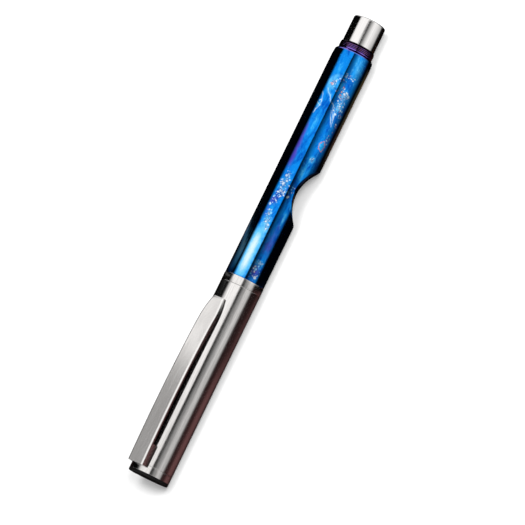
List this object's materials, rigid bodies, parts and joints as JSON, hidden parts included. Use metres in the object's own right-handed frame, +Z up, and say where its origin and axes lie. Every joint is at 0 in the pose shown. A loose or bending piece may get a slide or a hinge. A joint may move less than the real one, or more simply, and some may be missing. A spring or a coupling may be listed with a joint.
{
  "type": "glass dip pen",
  "caption": "Slim capped dip pen with a glass nib on a steel grip, a blue metal barrel with a deep finger scoop, and a steel screw cap with a flat clip.",
  "frame": {"origin": "on the surface the pen lies on, below the middle of its capped length", "axes": "+X towards the tail along the pen's axis, -X towards the cap's closed end, +Z up through the clip"},
  "size_m": [0.138, 0.0116, 0.0141],
  "materials": {
    "barrel_blue": "mirror polished with a flamed blue and violet colour pattern",
    "steel_polished": "polished",
    "steel_brushed": "fine lengthwise brushing",
    "clip_steel": "lengthwise brushing with bright bevels",
    "disc_black": "satin black",
    "liner_plastic": "moulded",
    "rubber_seal": "matte",
    "sleeve_rubber": "milky",
    "ferrule_brass": "turned",
    "nib_glass": "fire polished"
  },
  "bodies": {
    "holder": {"barrel": "barrel_blue", "tail_plug": "steel_polished", "grip_section": "steel_brushed", "section_o_ring": "rubber_seal", "nib_ferrule": "ferrule_brass", "nib_sleeve": "sleeve_rubber", "nib_cushion": "rubber_seal", "glass_nib": "nib_glass"},
    "cap_core": {"inner_cap": "liner_plastic", "tip_cushion": "sleeve_rubber"},
    "cap_mouth": {"cap_mouth_ring": "steel_brushed"},
    "cap": {"cap_tube": "steel_brushed", "finial_plug": "steel_brushed", "end_disc": "disc_black"},
    "pocket_clip": {"clip": "clip_steel", "clip_screw": "steel_polished"}
  },
  "joints": [
    {"name": "cap_pull", "type": "slide", "parent": "holder", "child": "cap_core", "axis": [-1, 0, 0], "range_m": [0, 0.06]},
    {"name": "cap_advance", "type": "slide", "parent": "cap_core", "child": "cap_mouth", "axis": [-1, 0, 0], "range_m": [0, 0.002]},
    {"name": "cap_turn", "type": "hinge", "parent": "cap_mouth", "child": "cap", "pos_m": [-0.0098, 0, 0.00575], "axis": [-1, 0, 0], "range_deg": [0, 1800.1]},
    {"name": "clip_flex", "type": "hinge", "parent": "cap", "child": "pocket_clip", "pos_m": [-0.0667, 0, 0.01155], "axis": [0, -1, 0], "range_deg": [0, 2], "stiffness_Nm_per_rad": 2, "springref_deg": -1.15}
  ],
  "couplings": [
    {"joint": "cap_turn", "follows": "cap_advance", "rad_per_m": 15708}
  ]
}
